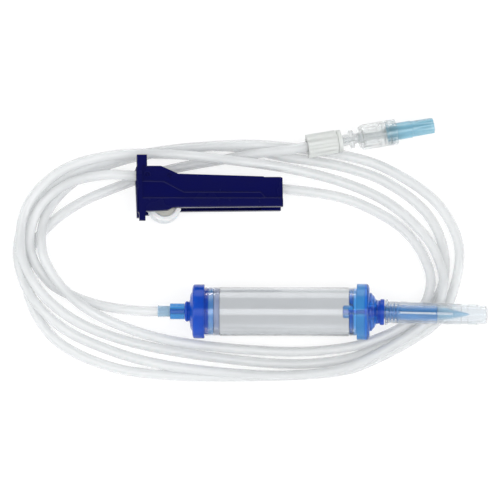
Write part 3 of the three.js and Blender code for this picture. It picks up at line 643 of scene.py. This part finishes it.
def make_lower_cap():
    mesh = turned([
        (-5.65, OUTLET_BORE), (-5.65, 3.4, 0.2), (-5.3, 4.0, 0.3), (-4.7, 4.3, 0.3),
        (-3.9, 3.9, 0.3), (-3.5, 5.0, 0.2), (-3.3, 7.0, 0.4), (-2.6, 8.2, 0.3),
        (-2.4, 10.2, 0.3), (-1.9, LOWER_FLANGE_RADIUS, 0.6), (2.45, LOWER_FLANGE_RADIUS, 0.3),
        (2.45, PLUG_RADIUS, 0.1), (4.15, PLUG_RADIUS, 0.1), (4.15, PLUG_INNER, 0.1),
        (1.05, PLUG_INNER, 1.2), (-1.05, OUTLET_BORE, 0.4),
    ])
    piece = as_object("lower_cap_moulding", mesh, blue_abs, chamber_place)
    settle(piece, "set", ["lower_cap"])
    spigot = turned([
        (SLEEVE_START, OUTLET_BORE), (SLEEVE_START, 1.42, 0.3), (-11.7, 1.42), (-11.7, OUTLET_BORE),
    ])
    sleeve = turned([
        (SLEEVE_START, 2.08), (SLEEVE_START, 2.42, 0.1), (-16.2, 2.42, 0.1), (-16.1, 2.28),
        (-11.75, 2.28, 0.1), (-11.75, 2.08),
    ])
    outlet = turned([
        (STUB_FACE, OUTLET_BORE), (STUB_FACE, 3.25, 0.3), (-5.75, 3.25, 0.2), (-5.75, OUTLET_BORE),
    ])
    lip = turned(
        [(4.2, PLUG_INNER), (4.2, PLUG_RADIUS), (6.25, PLUG_RADIUS, 0.35), (6.25, PLUG_INNER, 0.3)],
    )
    parts = (
        ("outlet_spigot", spigot, blue_abs), ("outlet_sleeve", sleeve, sleeve_abs),
        ("outlet_stub", outlet, skirt_abs), ("lower_plug_lip", lip, spike_abs),
    )
    for name, part, material in parts:
        piece = as_object(name, part, material, chamber_place)
        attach(piece, "set")


def make_filter():
    rim = turned([
        (6.45, PLUG_RADIUS, 0.2), (8.65, PLUG_RADIUS, 0.2), (8.65, 7.6, 0.2), (6.45, 7.6, 0.2),
    ])
    mesh = with_repeats(
        rim, strand_tree, count=26, disc_radius=7.65, along=6.8, thickness=0.09,
        material=nylon_filter,
    )
    piece = as_object("filter_disc", mesh, nylon_filter, chamber_place)
    settle(piece, "set", ["chamber_filter"])


def make_barrel():
    start, end = BARREL_CLEAR_SPAN
    mesh = turned([
        (start, BARREL_INNER, 0.1), (start, BARREL_RADIUS), (end, BARREL_RADIUS),
        (end, BARREL_INNER, 0.1),
    ], sides=BARREL_SIDES)
    piece = as_object("clear_barrel", mesh, hazed_pvc, chamber_place)
    settle(piece, "set", ["drip_chamber_barrel"])
    welds = bmesh.new()
    for start, end in BARREL_WELD_SPANS:
        turned([
            (start, BARREL_END_INNER), (start, BARREL_RADIUS, 0.1), (end, BARREL_RADIUS, 0.1),
            (end, BARREL_END_INNER),
        ], sides=BARREL_SIDES, mesh=welds)
    piece = as_object("barrel_welds", welds, welded_pvc, chamber_place)
    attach(piece, "set")


def make_upper_cap():
    plug_start, notch_end, notch_half_width = 61.65, 63.25, 1.5

    def notched(along, radius, angle):
        """Four notches in the plug's rim, a quarter turn apart."""
        quarter = (angle + math.pi / 4) % (math.pi / 2) - math.pi / 4
        in_notch = abs(quarter) < notch_half_width / PLUG_RADIUS
        if along < notch_end and in_notch and radius > PLUG_INNER - 0.5:
            return notch_end, radius
        return along, radius

    plug = turned([
        (64.7, DROP_BORE), (63.55, DROP_BORE), (63.55, PLUG_INNER, 0.5),
        (plug_start, PLUG_INNER, 0.2), (plug_start, PLUG_RADIUS, 0.6), (64.7, PLUG_RADIUS),
    ], warp=notched)
    skirt = turned([
        (64.75, DROP_BORE), (64.75, UPPER_FLANGE_RADIUS, 0.3), (68.0, UPPER_FLANGE_RADIUS),
        (68.0, DROP_BORE),
    ])
    for name, part, material in (
        ("upper_cap_plug", plug, thin_abs), ("upper_cap_skirt", skirt, skirt_abs),
    ):
        piece = as_object(name, part, material, chamber_place)
        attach(piece, "set")
    mesh = turned([
        (68.35, DROP_BORE), (68.05, DROP_BORE), (68.05, UPPER_FLANGE_RADIUS),
        (69.3, UPPER_FLANGE_RADIUS, 0.9), (70.05, 10.2, 0.7),
        (70.05, 7.85, 0.2), (70.85, 7.85, 0.3), (71.2, 7.2, 0.2), (72.0, 6.4, 0.3),
        (72.5, 5.3, 0.2), (72.8, 4.95, 0.1), (CONE_END, 4.95, 0.2), (CONE_END, 2.6, 0.1),
        (68.35, 2.6, 0.1),
    ])
    piece = as_object("upper_cap_moulding", mesh, tinted_abs, chamber_place)
    settle(piece, "set", ["upper_cap"])


def make_drop_former():
    mesh = turned([
        (58.65, DROP_BORE, 0.15), (58.65, FORMER_RADIUS, 1.0), (60.7, FORMER_RADIUS),
        (63.35, FORMER_RADIUS, 0.1), (63.35, DROP_BORE),
    ], sides=64)
    piece = as_object("drop_former_tip", mesh, thin_abs, chamber_place)
    settle(piece, "set", ["drop_former"])


make_lower_cap()
make_filter()
make_barrel()
make_upper_cap()
make_drop_former()


# Spike and sheath
COLLAR_START, RIDGE_START, SHAFT_START, POINT_START, SPIKE_TIP = 73.4, 76.05, 82.05, 97.75, 110.85
SPIKE_COLLAR_RADIUS = 5.35
SHAFT_RADIUS = 3.1
RIDGES, RIDGE_PITCH, RIDGE_RADIUS, RIDGE_ROOT = 4, 1.5, 3.4, 2.7
# Path and radius of the near-white pipe that paints a highlight streak along the shaft's top
PAINTED_HIGHLIGHT_PATH = ((82.6, -0.44, 2.56), (97.0, -0.44, 2.56), (100.0, -0.28, 1.6), (104.0, -0.17, 0.9))
PAINTED_HIGHLIGHT_RADIUS = 0.62


def make_spike():
    ridges = []
    for i in range(RIDGES):
        start = RIDGE_START + 0.1 + i * RIDGE_PITCH
        ridges += [
            (start, RIDGE_ROOT, 0.1), (start + 0.4, RIDGE_ROOT, 0.1),
            (start + 0.6, RIDGE_RADIUS, 0.15), (start + 1.3, RIDGE_RADIUS, 0.2),
        ]

    def slanted(along, radius, angle):
        """The point is cut away along its upper side, where the fluid way opens."""
        share = (along - POINT_START) / (SPIKE_TIP - POINT_START)
        if share <= 0.05 or share > 0.8:
            return along, radius
        upward = max(0.0, math.sin(angle)) ** 4
        return along, radius * (1 - 0.3 * upward * math.sin(math.pi * share / 0.85))

    mesh = turned([
        (68.55, 0), (68.55, 2.3, 0.3), (74.2, 2.3), (74.2, 3.05), *ridges,
        (SHAFT_START + 0.2, SHAFT_RADIUS, 0.3), (POINT_START - 1, SHAFT_RADIUS),
        (POINT_START, SHAFT_RADIUS, 0.3), (POINT_START, 0),
    ], sides=64)
    piece = as_object("spike_moulding", mesh, spike_abs, spike_place)
    settle(piece, "set", ["spike"])
    collar = turned([
        (COLLAR_START, 2.35), (COLLAR_START, 4.8, 0.2), (74.25, 4.8, 0.1),
        (74.3, SPIKE_COLLAR_RADIUS, 0.4), (RIDGE_START, SPIKE_COLLAR_RADIUS, 0.5),
        (RIDGE_START, SHAFT_RADIUS), (74.25, SHAFT_RADIUS), (74.25, 2.35),
    ])
    # The painted highlight streak: a near-white pipe just proud of the shaft's top
    painted_highlight = pipe([Vector(point) for point in PAINTED_HIGHLIGHT_PATH], PAINTED_HIGHLIGHT_RADIUS, sides=12)
    point = turned([
        (POINT_START + 0.05, 0), (POINT_START + 0.05, 2.6, 0.2), (POINT_START + 3, 2.35),
        (POINT_START + 5, 2.08), (POINT_START + 7, 1.7), (POINT_START + 9, 1.2),
        (POINT_START + 11, 0.75), (SPIKE_TIP - 0.6, 0.4), (SPIKE_TIP, 0.2, 0.1), (SPIKE_TIP, 0),
    ], sides=64, warp=slanted)
    for name, part, material in (
        ("spike_collar", collar, blue_abs), ("spike_point", point, pale_abs),
        ("spike_fluid_way", painted_highlight, fluid_way_abs),
    ):
        piece = as_object(name, part, material, spike_place)
        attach(piece, "set")


def make_sheath():
    mesh = turned([
        (76.35, 4.1, 0.1), (76.35, 5.3, 0.3), (77.55, 5.3, 0.3), (77.55, 4.45, 0.2),
        (82.4, 4.41, 0.1), (82.5, 4.58, 0.1), (85.2, 4.55, 0.1), (85.3, 4.38, 0.1),
        (107.4, 4.2, 0.1), (107.5, 4.04, 0.1), (110.3, 4.02, 0.1), (110.4, 4.18, 0.1),
        (114.4, 4.15, 0.3), (115.0, 3.82, 0.3), (118.25, 3.75, 1.2), (118.25, 0),
        (117.63, 0), (117.63, 2.7, 0.5), (114.6, 3.4, 0.3), (113.6, 3.85, 0.3),
    ])
    piece = as_object("spike_sheath_moulding", mesh, hazed_polyethylene, spike_place)
    settle(piece, "sheath", ["spike_sheath"])


make_spike()
make_sheath()


# Roller clamp
ROLLER_REST = (11.4, -11.8)
EDGE_BREAK_MM = 0.35
PIN_MARKS = ((4.3, 0.4), (13.2, 0.1))
# Height above the clamp's middle, radius and run of each bead on its near wall
RELIEF_BEADS = (
    (5.5, 0.3, ((2.2, -2.4), (10.9, -2.6), (19.1, -7.0), (50.6, -7.0), (52.4, -8.8), (52.4, -9.2))),
    (5.85, 0.28, ((2.2, -9.4), (59.4, -9.4))),
    (5.85, 0.28, ((15.0, -13.0), (59.4, -12.6))),
    (5.2, 0.5, ((0.05, 3.6), (0.1, -15.2))),
)


def make_clamp_housing():
    """The housing's own solid, its edges broken as a mould leaves them."""
    mesh = bmesh.new()
    mesh.from_mesh(bpy.data.objects["clamp_housing"].data)
    bmesh.ops.remove_doubles(mesh, verts=mesh.verts, dist=1e-6)
    bmesh.ops.dissolve_limit(
        mesh, angle_limit=math.radians(0.5), verts=mesh.verts, edges=mesh.edges,
    )
    mesh.transform(Matrix.Scale(1 / MM, 4))
    piece = as_object("clamp_housing_moulding", mesh, navy_abs, sharp_degrees=40)
    edge = piece.modifiers.new("broken_edges", "BEVEL")
    edge.width = EDGE_BREAK_MM * MM
    edge.segments = 3
    edge.limit_method = "ANGLE"
    edge.angle_limit = math.radians(25)
    edge.harden_normals = True
    settle(piece, "set", ["clamp_housing"])
    return piece


def make_pin_marks():
    """Rings that the ejector pins left in the near wall, and the beads along its relief."""
    mesh = bmesh.new()
    for x, y in PIN_MARKS:
        ring = turned([(0, 0.35), (0, 0.95), (0.35, 0.75), (0.35, 0.55)], sides=24)
        ring.transform(Matrix.Translation((x, y, 5.15)) @ turn("Y", -90))
        data = bpy.data.meshes.new("pin_mark")
        ring.to_mesh(data)
        ring.free()
        mesh.from_mesh(data)
    for level, radius, line in RELIEF_BEADS:
        pipe([Vector((*point, level)) for point in line], radius, sides=12, mesh=mesh)
    piece = as_object("clamp_pin_marks", mesh, polished_navy, clamp_place)
    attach(piece, "set")
    return piece


def make_roller():
    mesh = turned([
        (-4.6, 0), (-4.6, 1.0, 0.2), (-3.4, 1.0), (-3.4, 2.0, 0.2), (-2.2, 2.2, 0.2),
        (-2.2, 4.5, 0.3), (-3.4, 4.9, 0.3), (-3.4, 6.75, 0.5), (3.4, 6.75, 0.5), (3.4, 4.9, 0.3),
        (2.2, 4.5, 0.3), (2.2, 2.2, 0.2), (3.4, 2.0, 0.2), (3.4, 1.0), (4.6, 1.0, 0.2), (4.6, 0),
    ])
    mesh = with_repeats(
        mesh, rib_tree, count=44, reach=6.7, middle=0.0, length=5.6, thickness=0.24,
        material=white_acetal,
    )
    place = clamp_place @ Matrix.Translation((*ROLLER_REST, 0)) @ turn("Y", -90)
    piece = as_object("clamp_roller_moulding", mesh, white_acetal, place)
    settle(piece, "roller", ["clamp_roller"])
    # A greyer disc laid on the web's faces paints the shade in the roller's recess
    web_shade_mesh = turned([(-2.3, 2.25), (-2.3, 4.45), (2.3, 4.45), (2.3, 2.25)])
    web_shade = as_object("clamp_roller_web", web_shade_mesh, painted_shade_acetal, place)
    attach(web_shade, "roller")
    return piece, web_shade


clamp_housing = make_clamp_housing()
pin_marks = make_pin_marks()
clamp_roller, roller_web_shade = make_roller()


# Luer end
COLLAR_RIBS, COLLAR_RIB_HEIGHT = 14, 0.35
THREAD_TURNS, THREAD_PITCH, THREAD_START, THREAD_STEPS = 2.0, 2.6, 30.9, 72
THREAD_RADIUS, THREAD_THICKNESS = 4.32, 0.35
CAP_FLUTES, CAP_FLUTE_DEPTH = 8, 0.25


def make_grip():
    mesh = turned([
        (0, 2.35, 0.2), (0, 4.1, 0.4), (12.3, 4.1, 0.2), (12.45, 4.0, 0.1), (12.65, 4.0, 0.1),
        (12.75, 4.7, 0.2), (14.3, 4.7, 0.4), (14.3, 2.1, 0.2), (8.5, 2.1), (8.5, 2.35),
    ])
    mesh = with_repeats(
        mesh, rib_tree, count=8, reach=3.7, middle=6.1, length=12.2, thickness=1.2,
        material=frosted_elastomer,
    )
    piece = as_object("tube_grip_moulding", mesh, frosted_elastomer, luer_place)
    return settle(piece, "set", ["tube_grip"])


def make_stem():
    def lugged(along, radius, angle):
        if radius > 3.4 and 17.5 < along < 19.6:
            return along, radius * (0.68 + 0.32 * abs(math.cos(angle)) ** 0.7)
        return along, radius

    mesh = turned([
        (9.9, 1.0), (9.9, 1.8, 0.3), (14.45, 1.8), (14.45, 2.4, 0.3), (17.7, 2.2, 0.2),
        (17.7, 3.7, 0.3), (19.4, 3.7, 0.3), (19.4, 2.2, 0.3), (20.9, 1.95), (23.3, 2.2, 0.2),
        (23.3, 3.2, 0.2), (24.3, 3.2, 0.2), (24.3, 2.1, 0.2), (38.7, 1.95, 0.2), (38.7, 1.0, 0.1),
    ], warp=lugged, sides=64)
    piece = as_object("luer_stem_moulding", mesh, thick_polycarbonate, luer_place)
    return settle(piece, "set", ["luer_stem"])


def make_lock_collar():
    def ribbed(along, radius, angle):
        if radius > 4.7 and along < 30.1:
            rib = max(0.0, math.cos(COLLAR_RIBS * angle)) ** 0.5
            return along, radius + COLLAR_RIB_HEIGHT * rib
        return along, radius

    mesh = turned([
        (21.6, 2.5, 0.1), (21.6, 4.0, 0.3), (22.7, 4.85, 0.9), (25.3, 4.95), (29.8, 4.95, 0.2),
        (30.3, 5.3, 0.2), (35.5, 5.3), (35.9, 5.15, 0.1), (36.7, 5.3, 0.2), (37.3, 5.3, 0.3),
        (37.3, 4.5, 0.3), (23.1, 4.5, 0.4), (23.1, 2.5, 0.1),
    ], warp=ribbed, sides=168)
    thread = []
    for i in range(THREAD_STEPS + 1):
        angle = 2 * math.pi * THREAD_TURNS * i / THREAD_STEPS
        along = THREAD_START + THREAD_PITCH * THREAD_TURNS * i / THREAD_STEPS
        y, z = THREAD_RADIUS * math.cos(angle), THREAD_RADIUS * math.sin(angle)
        thread.append(Vector((along, y, z)))
    pipe(thread, THREAD_THICKNESS, sides=8, mesh=mesh)
    piece = as_object("lock_collar_moulding", mesh, clear_polycarbonate, luer_place)
    return settle(piece, "collar", ["lock_collar"])


def make_end_cap():
    def fluted(along, radius, angle):
        if along > 44.1 and radius > 2.5:
            return along, radius - CAP_FLUTE_DEPTH * (0.5 - 0.5 * math.cos(CAP_FLUTES * angle))
        return along, radius

    mesh = turned([
        (33.0, 2.4, 0.1), (33.0, 3.55, 0.2), (43.6, 3.55, 0.25), (43.9, 3.3, 0.1), (48.3, 3.3),
        (53.0, 3.25, 0.3), (53.0, 0), (51.6, 0), (51.6, 1.5, 0.2), (40.0, 1.5, 0.1),
        (40.0, 2.4, 0.1),
    ], warp=fluted, sides=96)
    piece = as_object("end_cap_moulding", mesh, pale_blue_polypropylene, luer_place)
    return settle(piece, "end_cap", ["luer_cap"])


luer_pieces = [make_grip(), make_stem(), make_lock_collar(), make_end_cap()]


# Table and light
TABLE_HALF_MM = 1500.0
TABLE_GAP_MM = 0.05
TABLE_GLOW = 1.1
TABLE_GLOW_SHARE = 0.7


def make_table():
    """A white table that keeps the set's shadow, and glows in part where it is looked at."""
    mesh = bmesh.new()
    corners = []
    for x, y in ((-1, -1), (1, -1), (1, 1), (-1, 1)):
        corners.append(mesh.verts.new((x * TABLE_HALF_MM, y * TABLE_HALF_MM, -TABLE_GAP_MM)))
    mesh.faces.new(corners)
    made, tree = new_material("white_table")
    path = add_node(tree, "ShaderNodeLightPath")
    seen = add_node(
        tree, "ShaderNodeMath", {"operation": "MAXIMUM"},
        {0: path.outputs["Is Camera Ray"], 1: path.outputs["Is Glossy Ray"]},
    )
    seen_through = add_node(
        tree, "ShaderNodeMath", {"operation": "MAXIMUM"},
        {0: seen.outputs[0], 1: path.outputs["Is Transmission Ray"]},
    )
    share = add_node(
        tree, "ShaderNodeMath", {"operation": "MULTIPLY", 1: TABLE_GLOW_SHARE},
        {0: seen_through.outputs[0]},
    )
    diffuse = add_node(tree, "ShaderNodeBsdfDiffuse", {"Color": linear("#F6F7F8")})
    glow = add_node(tree, "ShaderNodeEmission", {"Color": (1, 1, 1, 1), "Strength": TABLE_GLOW})
    mixed = add_node(
        tree, "ShaderNodeMixShader", {},
        {0: share.outputs[0], 1: diffuse.outputs["BSDF"], 2: glow.outputs["Emission"]},
    )
    add_node(tree, "ShaderNodeOutputMaterial", {}, {"Surface": mixed.outputs["Shader"]})
    table = as_object("table", mesh, made)


# Brightness of the studio across its Y axis, from the near side (-1) to the far side (1)
LIGHT_BANDS = [
    (-1.0, 0.4), (-0.5, 0.36), (-0.4, 0.9), (-0.02, 0.9), (0.08, 0.15), (0.82, 0.15), (0.9, 0.85),
    (1.0, 0.85),
]
STUDIO_STRENGTH = 2.4
LAMPS = (("soft_box_left", (-0.5, 0.35, 0.8)), ("soft_box_right", (0.6, -0.1, 0.9)))
LAMP_SIZE_M = 0.3
LAMP_WATTS = 1.0
LAMP_TARGET = Vector((-0.03, 0.02, 0))


def make_light():
    world = bpy.data.worlds.new("studio")
    scene.world = world
    world.use_nodes = True
    tree = world.node_tree
    tree.nodes.clear()
    place = add_node(tree, "ShaderNodeTexCoord")
    across = add_node(tree, "ShaderNodeSeparateXYZ", {}, {"Vector": place.outputs["Generated"]})
    share = add_node(
        tree, "ShaderNodeMapRange", {"From Min": -1.0, "From Max": 1.0},
        {"Value": across.outputs["Y"]},
    )
    bands = add_node(tree, "ShaderNodeValToRGB", {}, {"Fac": share.outputs["Result"]})
    ramp = bands.color_ramp
    ramp.interpolation = "EASE"
    while len(ramp.elements) < len(LIGHT_BANDS):
        ramp.elements.new(0.5)
    for stop, (y, level) in zip(ramp.elements, LIGHT_BANDS):
        stop.position = (y + 1) / 2
        stop.color = (level, level, level, 1)
    sky = add_node(
        tree, "ShaderNodeBackground", {"Strength": STUDIO_STRENGTH},
        {"Color": bands.outputs["Color"]},
    )
    white = add_node(tree, "ShaderNodeBackground", {"Color": (1, 1, 1, 1), "Strength": 1.0})
    path = add_node(tree, "ShaderNodeLightPath")
    mixed = add_node(
        tree, "ShaderNodeMixShader", {},
        {
            0: path.outputs["Is Camera Ray"], 1: sky.outputs["Background"],
            2: white.outputs["Background"],
        },
    )
    add_node(tree, "ShaderNodeOutputWorld", {}, {"Surface": mixed.outputs["Shader"]})
    for name, spot in LAMPS:
        data = bpy.data.lights.new(name, "AREA")
        data.size = LAMP_SIZE_M
        data.energy = LAMP_WATTS
        lamp = bpy.data.objects.new(name, data)
        lamp.location = spot
        aim = LAMP_TARGET - Vector(spot)
        lamp.rotation_euler = aim.to_track_quat("-Z", "Y").to_euler()
        scene.collection.objects.link(lamp)


make_table()
make_light()
scene.view_settings.view_transform = "Standard"
